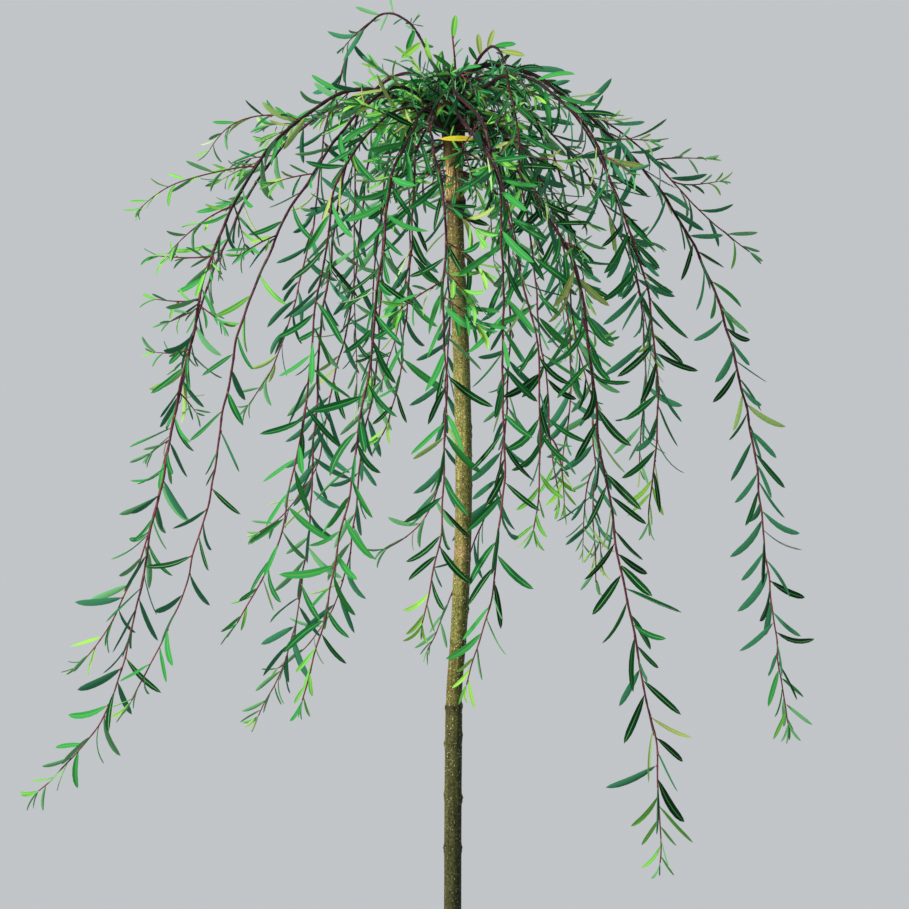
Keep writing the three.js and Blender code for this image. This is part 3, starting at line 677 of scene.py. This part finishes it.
def dress(path, group, start, spacing, size, seed, tone, bare_end=0.0, tuft=True, spread=(24, 54), swell_to=1.0,
          tip_size=0.45):
    """Leaves along a shoot from distance `start` to its tip."""
    r = np.random.default_rng(seed)
    d = start
    angle = r.uniform(0, 2 * math.pi)
    total = path.length - bare_end
    spray = 0
    palette = "mid"
    while d < total:
        if spray <= 0:      # a new spray takes its colours
            spray = int(r.integers(2, 6))
            left = (total - d) / max(total, 1e-6)
            if left < 0.10:
                palette = pick(r, ["bright", "tip", "fresh"], [5, 3, 3])
            elif tone == "young":
                palette = pick(r, ["fresh", "bright", "tip", "mid", "olive"], [4, 5, 2, 1.5, 0.8])
            # painted light and shade: the right-hand group is dealt the darkest leaves and the left-hand group more
            # fresh and bright ones, as the key light comes from the left
            elif tone == "old" or (tone == "main" and (left < 0.55 or group == "right")):
                palette = pick(r, ["dark", "mid", "fresh", "olive"],
                               {"right": [7.5, 3.6, 1.0, 0.3], "left": [2.6, 4.2, 3.4, 0.6]}.get(group, [4, 4.5, 2.4, 0.3]))
            else:
                palette = pick(r, ["dark", "mid", "fresh", "bright", "olive"],
                               {"right": [6, 4, 2.2, 1.2, 0.6], "left": [1.8, 3.6, 4.2, 2.6, 0.8]}.get(group, [2.4, 4, 4, 2.2, 0.6]))
            if palette in ("olive", "tip"):
                spray = min(spray, 2)
        spray -= 1
        p, t = path.at(d)
        u = d / total
        grow_in = min(1.0, 0.62 + 0.38 * (d - start) / 0.05)
        near_tip = min(1.0, tip_size + (1 - tip_size) * (total - d) / min(0.11, 0.01 + 0.5 * total))
        s = size * (1 + (swell_to - 1) * u) * grow_in * near_tip * r.uniform(0.80, 1.12)
        leaf_at(group, p, t, angle, s, palette, r.uniform(*spread) * (0.65 + 0.35 * near_tip), r)
        if near_tip > 0.8 and r.random() < 0.55:
            add_bud(p, t, around(t, angle), r.uniform(0.0022, 0.0034))
        angle += math.radians(137.5) + r.normal(0, 0.22)
        d += spacing * r.uniform(0.75, 1.25) * (0.55 + 0.45 * near_tip)
    if tuft:                # the growing point
        p, t = path.at(path.length)
        for k in range(int(r.integers(2, 5))):
            leaf_at(group, p, t, r.uniform(0, 6.28), size * r.uniform(0.36, 0.66),
                    pick(r, ["bright", "tip", "fresh"], [3, 1, 2]), r.uniform(4, 26), r, curl=r.uniform(-0.3, 0.5))


def swell(dist, places, width=0.0016, amount=0.22):
    out = np.ones_like(dist)
    for q in places:
        out += amount * np.exp(-((dist - q) / width) ** 2)
    return out


# ------------------------------------------------------- main shoots and boughs
paths = {}
main = Tubes()
boughs = Tubes()
seed = 100
BOUGH_END = {"left_long": 0.1, "left_back": 0.1, "left_front": 0.1, "top_loop": 0.13,
             "rear_left_long": 0.1, "rear_middle": 0.12, "rear_right_long": 0.1, "rear_right": 0.1,
             "right_long": 0.1, "right_front": 0.12, "front_right_long": 0.09, "front_middle": 0.11,
             "front_left_long": 0.1}
for name, (root, az, length, pitch, turn, thick, side, group) in SHOOTS.items():
    seed += 1
    a = math.radians(az)
    start = np.array([4 * math.cos(a), 4 * math.sin(a), root])
    pts = walk(start, az, length, pitch, turn, max(30, int(length / 4))) * MM
    pts = wobble(pts, 0.0022, seed, 0.17)[:-5]      # the last leaves reach the stated end
    path = Path(pts)
    paths[name] = path
    d = path.d
    u = d / path.length
    young = 0.75 * MM
    r = young + (thick * 0.62 * MM - young) * (1 - u) ** 0.9
    r = r + (thick - thick * 0.62) * MM * np.exp(-(d / 0.09) ** 2) + 0.9 * MM * np.exp(-(d / 0.022) ** 2)
    marks = np.arange(0.05, path.length - 0.03, 0.019)
    r = r * swell(d, marks + np.random.default_rng(seed).normal(0, 0.002, len(marks)))
    sides = 10
    ph = np.random.default_rng(seed + 7).uniform(0, 6.28, 3)
    relief = lambda i, g, ph=ph: 1 + 0.05 * np.sin(2 * g + 0.05 * i + ph[0]) + 0.035 * np.sin(3 * g - 0.11 * i + ph[1])
    if name in BOUGH_END:
        cut = int(np.searchsorted(u, BOUGH_END[name] + 0.06))
        fine = lambda i, g, ph=ph: (1 + 0.06 * np.sin(2 * g + 0.2 * i + ph[0]) + 0.05 * np.sin(4 * g - 0.31 * i + ph[1])
                                    + 0.03 * np.sin(7 * g + 0.7 * i + ph[2]))
        # finer rings on the bough
        m = 3 * cut
        dd = np.linspace(0, d[cut], m)
        bp = np.stack([np.interp(dd, d, pts[:, k]) for k in range(3)], 1)
        boughs.add(bp, np.interp(dd, d, r), 16, 0, fine)
        keep = slice(max(cut - 2, 0), None)
    else:
        keep = slice(0, None)
    # old bark, then the redder bark of this year's growth
    tone = u[keep] + np.random.default_rng(seed + 3).normal(0, 0.05, len(u[keep]))
    main.add(pts[keep], r[keep], sides, (tone > 0.38).astype(int) + (tone > 0.66), relief)

# ------------------------------------------------------------------ branching
lo = np.array(cad_box[0])
hi = np.array(cad_box[1])
room = 0.03 * (hi - lo) + 0.010 - 0.003
allowed = (np.array([lo[0] - room[0], lo[1] - room[1], 0.004]), hi + room)


def side_shoot(group, points, r0, r1, seed, leaf_start, spacing, size, tone, mat, sides=6):
    inside = ((points > allowed[0] + 0.012) & (points < allowed[1] - 0.012)).all(axis=1)
    if not inside.all():        # a shoot that would leave the crown is shorter
        points = points[:max(4, int(np.argmin(inside)))]
    path = Path(points)
    u = path.d / path.length
    r = r1 + (r0 - r1) * (1 - u) ** 0.9
    r = r * swell(path.d, np.arange(0.012, path.length, spacing), 0.0012, 0.18)
    twigs.add(points, r, sides, mat)
    dress(path, group, leaf_start, spacing, size, seed, tone, tip_size=0.58 if path.length < 0.13 else 0.45)
    return path


for k, (parent, share, az, length, pitch, turn) in enumerate(NAMED_SIDES):
    path = paths[parent]
    start, _ = path.at(share * path.length)
    pts = walk(start / MM, az, length, pitch, turn, max(10, int(length / 4))) * MM
    group = SHOOTS[parent][7]
    side_shoot(group, pts, 1.15 * MM, 0.5 * MM, 900 + k, 0.010, 0.0115, 0.041, "young", 1)

for name, path in paths.items():
    root, az, length, pitch, turn, thick, side, group = SHOOTS[name]
    seed += 1
    r = np.random.default_rng(seed * 13 + 5)
    # leaves on the main shoot itself
    if name == "top_sprig":
        dress(path, group, 0.012, 0.017, 0.030, seed, "young", tuft=False)
        continue
    tone = "main"
    if name == "front_loop":    # bare at the top of its arch
        dress(path, group, 0.115, 0.024, 0.032, seed, "mixed", bare_end=path.length - 0.19, tuft=False)
        dress(path, group, 0.195, 0.0145, 0.047, seed + 900, tone, swell_to=1.26)
    elif name == "top_loop":    # the loop itself carries a few small leaves
        dress(path, group, 0.045, 0.027, 0.033, seed, "young", bare_end=path.length - 0.21, tuft=False)
        dress(path, group, 0.215, 0.0145, 0.046, seed + 900, tone, swell_to=1.2)
    else:
        dress(path, group, 0.045, 0.0142 * LEAF_GAP.get(name, 1), 0.049, seed, tone,
              swell_to=1.36 if group == "right" else 1.26)
    # short leafy twigs and longer hanging ones on the upper part
    d = (0.15 if name == "front_loop" else 0.07) + 0.02 * r.random()
    last = path.length * (0.6 if side > 0.7 else 0.45 if side > 0.4 else 0.28)
    while d < last:
        p, t = path.at(d)
        u = d / path.length
        long = r.random() < (0.12 if group == "left" else 0.26) and u > 0.12
        outward = unit(np.array([p[0], p[1], 0.0]) + 1e-6)
        if long:
            out = unit(around(t, r.uniform(0, 6.28)) + 0.4 * outward * r.uniform(-0.6, 1))
            n_len = r.uniform(0.14, 0.34) * (1.15 - 0.6 * u)
            first = unit(0.9 * t + 0.5 * out)
            pts = grow(p, first, n_len, seed * 31 + int(d * 1e4), 11.0, (0.10 * outward[0], 0.10 * outward[1], -1))
            side_shoot(group, pts, 1.25 * MM, 0.55 * MM, seed * 17 + int(d * 1e4), 0.02, 0.0155, 0.050,
                       "mixed", int(r.random() < 0.25))
        else:
            out = unit(around(t, r.uniform(0, 6.28)) + 0.5 * outward + np.array([0, 0, 0.25]))
            n_len = r.uniform(0.020, 0.062)
            first = unit(0.6 * t + 0.8 * out)
            pts = grow(p, first, n_len, seed * 37 + int(d * 1e4), 4.0, (0.3 * outward[0], 0.3 * outward[1], -0.8))
            side_shoot(group, pts, 1.0 * MM, 0.5 * MM, seed * 19 + int(d * 1e4), 0.005, 0.0085, 0.044,
                       pick(r, ["young", "mixed"], [2, 3]), int(1 + (r.random() < 0.35)), sides=5)
        d += r.uniform(0.030, 0.062) / max(side, 0.3) * (0.8 + 0.9 * u)

# short growth all round the graft head
r = np.random.default_rng(77)
for k in range(54):
    z = r.uniform(1.160, 1.276)
    a = r.uniform(0, 2 * math.pi)
    out = np.array([math.cos(a), math.sin(a), 0.0])
    c = np.array([smooth_look_up(z / MM, SWAY_HEIGHTS, SWAY_ACROSS) * MM, smooth_look_up(z / MM, SWAY_HEIGHTS, SWAY_DEPTH) * MM, z])
    p = c + out * 0.008
    lift = r.uniform(-0.3, 0.32) if z > 1.23 else r.uniform(-0.5, 0.35)
    first = unit(out + np.array([0, 0, lift]))
    n_len = r.uniform(0.04, 0.12) if z > 1.2 else r.uniform(0.03, 0.09)
    pts = grow(p, first, n_len, 5000 + k, 8.0)
    g = "front" if out[1] < -0.6 else "rear" if out[1] > 0.6 else "left" if out[0] < 0 else "right"
    side_shoot(g, pts, 1.4 * MM, 0.55 * MM, 6000 + k, 0.010, 0.0120, 0.046,
               pick(r, ["young", "mixed", "old"], [3, 4, 1]), int(r.random() < 0.3))

# leafy sprigs round the top of the head, between the shoots
r = np.random.default_rng(91)
for k in range(20):
    z = r.uniform(1.258, 1.292)
    a = math.radians((300 + 12 + 216 * ((k * 0.618) % 1) + r.uniform(-9, 9)) if k % 3 else r.uniform(190, 255))
    out = np.array([math.cos(a), math.sin(a), 0.0])
    c = np.array([smooth_look_up(z / MM, SWAY_HEIGHTS, SWAY_ACROSS) * MM, smooth_look_up(z / MM, SWAY_HEIGHTS, SWAY_DEPTH) * MM, z])
    first = unit(out + np.array([0, 0, r.uniform(-0.1, 0.25) if z < 1.280 else r.uniform(-0.2, 0.12)]))
    pts = grow(c + out * 0.006, first, r.uniform(0.030, 0.080), 7000 + k, 7.0)
    g = "front" if out[1] < -0.6 else "rear" if out[1] > 0.6 else "left" if out[0] < 0 else "right"
    side_shoot(g, pts, 1.4 * MM, 0.55 * MM, 7100 + k, 0.008, 0.0165, 0.060,
               pick(r, ["young", "mixed", "old"], [2, 4, 3]), int(r.random() < 0.3))

# leafy sprays from the front shoot that hang across the stem
for k, (z, across, size) in enumerate(((1.108, 0.020, 0.060), (1.066, 0.026, 0.064), (1.034, 0.014, 0.066),
                                       (1.020, -0.052, 0.060), (1.004, 0.020, 0.064))):
    path = paths["front_middle"]
    p, t = path.at(min(np.arange(0.12, path.length, 0.004), key=lambda d: abs(path.at(d)[0][2] - z)))
    gap = across - p[0]
    pts = grow(p, unit(np.array([gap, -0.014, -0.020])), abs(gap) + 0.018, 7300 + k, 9.0,
               (0.3 * math.copysign(1, gap), -0.15, -1.0))
    side_shoot("front", pts, 1.0 * MM, 0.5 * MM, 7400 + k, 0.006, 0.0088, size, "young", 1, sides=5)

# one turned leaf across the top of the graft
leaves["front"].add(np.array([-0.016, -0.072, 1.2045]), np.array([1, -0.05, 0.03]), np.array([0, -0.85, 0.5]),
                    0.041, 0.0080, 0.1, 0.15, 0.1, PALETTE_INDEX["yellow"])
# single leaves that stand up from the highest shoots
for parent, share, first, length, palette in (
        ("front_loop", 0.105, (-0.15, -0.1, 1.0), 0.027, "olive"), ("front_loop", 0.135, (0.30, -0.1, 1.0), 0.024, "olive"),
        ("front_loop", 0.165, (1.0, -0.2, 0.12), 0.028, "fresh"), ("front_loop", 0.20, (1.0, -0.1, -0.15), 0.030, "olive"),
        ("front_loop", 0.09, (-0.6, -0.3, 0.9), 0.020, "mid"), ("top_sprig", 0.94, (0.08, 0, 1.0), 0.030, "bright"),
        ("top_loop", 0.165, (-0.7, -0.1, -0.6), 0.034, "tip"), ("top_loop", 0.20, (-0.3, -0.2, -0.9), 0.030, "fresh"),
        ("top_loop", 0.105, (-0.5, -0.1, 1.0), 0.024, "tip"), ("top_loop", 0.085, (0.25, -0.1, 0.95), 0.026, "bright"),
        ("top_loop", 0.075, (0.8, -0.1, 0.35), 0.022, "fresh")):
    q, _ = paths[parent].at(share * paths[parent].length)
    leaves[SHOOTS[parent][7]].add(q, np.array(first), np.array([0.15, -1.0, 0.2]), length, length * 0.24,
                                  0.05, 0.3, 0.2, PALETTE_INDEX[palette], 0.1, np.array(first), 0.1)

# ------------------------------------------------------------------------ stem
def stem():
    heights = np.r_[np.arange(0, 80, 2.0), np.arange(80, 1120, 2.6), np.arange(1120, STEM_TOP + 0.1, 1.5)]
    sides = 56
    ang = np.arange(sides) * 2 * math.pi / sides
    z = heights[:, None]
    g = ang[None]
    r = np.interp(z, [0, STEM_TOP], [10.6, 9.7]) + 0 * g
    r = r + np.where(z < 75, 6.9 * np.clip(1 - z / 75, 0, 1) ** 2.2 * (1 + 0.22 * np.sin(3 * g + 0.7) + 0.10 * np.sin(5 * g + 2)), 0)
    r = r - 0.75 * np.clip((z - 534) / 3, 0, 1) * np.clip((680 - z) / 110, 0, 1)
    r = r + 1.0 * np.exp(-((z - 1148) / 13) ** 2)
    r = r + 7.4 * np.exp(-((z - 1246) / 42) ** 2) * (1 + 0.18 * np.sin(4 * g + z * 0.05) + 0.08 * np.sin(7 * g - z * 0.11))
    # rings of old scars: heights, rise, half width
    for h, rise, w in ((532, 0.9, 3.2), (611, 0.45, 3.0), (1135, 0.8, 2.2), (1162, 0.9, 2.4),
                       (240, 0.5, 3.0), (118, 0.5, 3.5), (708, 0.3, 2.6), (902, 0.35, 2.6), (1010, 0.35, 2.4)):
        tilt = 1.5 * np.sin(g + h)
        r = r + rise * np.exp(-(((z + tilt) - h) / w) ** 2)
        r = r - 0.35 * rise * np.exp(-(((z + tilt) - (h - 2.2 * w)) / w) ** 2)
    # knots and rubbed-out buds: height, angle (0 right, 270 front), rise, width
    knots = [(497, 8, 1.3, 4), (487, 186, 2.2, 4), (422, 350, 2.3, 4.5), (426, 180, 1.6, 4), (362, 4, 1.6, 4),
             (362, 184, 1.7, 4), (868, 352, 1.6, 3), (858, 352, 1.2, 3), (798, 340, 1.3, 3), (648, 356, 1.8, 3.4),
             (980, 250, 1.0, 3), (760, 262, 0.9, 3.2), (700, 188, 1.2, 3.2), (585, 285, 0.9, 3), (300, 262, 1.1, 3.6),
             (210, 30, 1.2, 3.6), (160, 200, 1.3, 3.6), (96, 300, 1.2, 4), (930, 176, 1.1, 3), (1060, 355, 1.2, 3),
             (560, 120, 1.2, 3.5), (660, 80, 1.2, 3.4), (820, 100, 1.2, 3.2), (455, 95, 1.2, 3.6), (1095, 200, 1.2, 3),
             (1139, 352, 3.4, 4.5), (1130, 8, 2.6, 4), (1141, 190, 2.0, 4.5), (1134, 262, 1.6, 4), (1137, 300, 1.8, 3.5),
             (1133, 90, 2.2, 5), (1182, 285, 1.8, 5), (1196, 200, 2.0, 5), (1190, 20, 1.8, 5), (1205, 110, 2.0, 5),
             (1268, 25, 3.4, 6), (1276, 150, 3.8, 6), (1284, 235, 3.0, 5), (1288, 330, 3.4, 5.5), (1272, 80, 3.2, 6),
             (1292, 110, 2.8, 4.5), (1262, 195, 3.4, 6), (1280, 290, 2.6, 5), (1258, 350, 3.0, 6), (1290, 185, 2.6, 4.5)]
    for h, deg, rise, w in knots:
        da = np.angle(np.exp(1j * (g - math.radians(deg))))
        dist2 = ((z - h) / w) ** 2 + (da * 10 / (w * 1.05)) ** 2
        r = r + rise * np.exp(-dist2) - 0.5 * rise * np.exp(-(((z - h + 0.3 * w) / (w * 0.35)) ** 2 + (da * 10 / (w * 0.45)) ** 2))
    # fine long relief
    for k, amp in ((3, 0.12), (5, 0.10), (9, 0.07), (14, 0.05)):
        r = r + amp * np.sin(k * g + 2.2 * np.sin(z * 0.011 * (1 + k * 0.13) + k) + k)
    r = r + 0.10 * np.sin(z * 0.9 + 2 * np.sin(2 * g)) * np.sin(z * 0.043 + 3 * g)
    top = np.clip((z - (STEM_TOP - 14)) / 14, 0, 1)
    r = r * (1 - 0.62 * top ** 2)
    cx = smooth_look_up(heights, SWAY_HEIGHTS, SWAY_ACROSS)
    cy = smooth_look_up(heights, SWAY_HEIGHTS, SWAY_DEPTH)
    v = np.stack([cx[:, None] + r * np.cos(g), cy[:, None] + r * np.sin(g), z + 0 * g], -1).reshape(-1, 3)
    k = len(heights)
    i = np.arange(k - 1)[:, None] * sides
    j = np.arange(sides)[None]
    j2 = (j + 1) % sides
    f = np.stack([i + j, i + j2, i + sides + j2, i + sides + j], -1).reshape(-1, 4).tolist()
    f.append(list(range(sides - 1, -1, -1)))
    v = np.vstack([v, [[cx[-1], cy[-1], STEM_TOP + 1.5]]])
    for q in range(sides):
        f.append([(k - 1) * sides + q, (k - 1) * sides + (q + 1) % sides, k * sides])
    ob = new_object("stem", v * MM, f, [stem_bark])
    ob.data.polygons[(k - 1) * sides].use_smooth = False
    return ob


stem_ob = stem()
boughs_ob = boughs.build("boughs", [bough_bark])
main_ob = main.build("main_shoots", [shoot_bark, shoot_mid, shoot_young])
twigs_ob = twigs.build("twigs", [twig_dark, twig_red, twig_green])
buds_ob = new_object("buds", np.vstack(buds["v"]), buds["f"], [bud_brown])

leaf_obs = {g: leaves[g].build(f"leaves_{g}", allowed) for g in GROUPS}

# --------------------------------------------------------- what replaces what
nodes = set(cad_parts)
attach(stem_ob, "root")
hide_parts("trunk")
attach(boughs_ob, "root")
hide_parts(*sorted(n for n in nodes if n.startswith("bough_")))
for ob in (main_ob, twigs_ob, buds_ob):
    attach(ob, "root")
owner = {name: SHOOTS[name][7] for name in SHOOTS}
mine = {g: [] for g in GROUPS}
for n in sorted(nodes):
    if n == "trunk" or n.startswith("bough_"):
        continue
    body = n.split("_", 1)[1].replace("_upper", "").replace("_lower", "")
    g = owner.get(body) or owner.get(body + "_spray") or "left"
    mine[g].append(n)
for g in GROUPS:
    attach(leaf_obs[g], "root")
    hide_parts(*mine[g])

# ----------------------------------------------------- floor, light and camera
def disc(radius, sides=96):
    ang = np.arange(sides) * 2 * math.pi / sides
    v = np.stack([radius * np.cos(ang), radius * np.sin(ang), np.zeros(sides)], 1)
    v = np.vstack([v, v * [1, 1, 0] + [0, 0, -0.02]])
    f = [list(range(sides)), list(range(2 * sides - 1, sides - 1, -1))]
    for k in range(sides):
        f.append([k, sides + k, sides + (k + 1) % sides, (k + 1) % sides])
    return v, f


floor_mat = principled("floor", (0.42, 0.42, 0.41), 0.9, Specular_IOR_Level=0.1)
v, f = disc(1.45)
floor = new_object("floor", v - [0, 0, 0.0005], f, [floor_mat], smooth=False)

world = bpy.data.worlds.new("studio")
bpy.context.scene.world = world
world.use_nodes = True
bg = world.node_tree.nodes["Background"]
bg.inputs["Color"].default_value = (0.93, 0.96, 1.0, 1)
bg.inputs["Strength"].default_value = 0.58
bpy.context.scene.view_settings.view_transform = "Standard"


def area(name, loc, target, size, power, color=(1, 1, 1)):
    lamp = bpy.data.lights.new(name, "AREA")
    lamp.shape = "DISK"
    lamp.size = size
    lamp.energy = power
    lamp.color = color
    ob = bpy.data.objects.new(name, lamp)
    bpy.context.scene.collection.objects.link(ob)
    ob.location = loc
    d = np.array(target) - np.array(loc)
    import mathutils
    ob.rotation_euler = mathutils.Vector(d).to_track_quat("-Z", "Y").to_euler()
    return ob


area("key", (-3.0, -2.0, 2.5), (0, 0, 0.9), 0.9, 270, (1.0, 0.97, 0.91))
area("fill", (2.4, -2.6, 1.2), (0, 0, 0.8), 2.0, 8)
area("rim", (1.2, 2.8, 2.4), (0, 0, 1.0), 1.4, 58)

cam_data = bpy.data.cameras.new("camera")
cam_data.sensor_width = 36.0
cam_data.lens = 99.0
cam = bpy.data.objects.new("camera", cam_data)
bpy.context.scene.collection.objects.link(cam)
cam.location = (0.002, -3.0, 0.835)
cam.rotation_euler = (math.radians(90), 0, 0)
bpy.context.scene.camera = cam

bpy.context.view_layer.update()
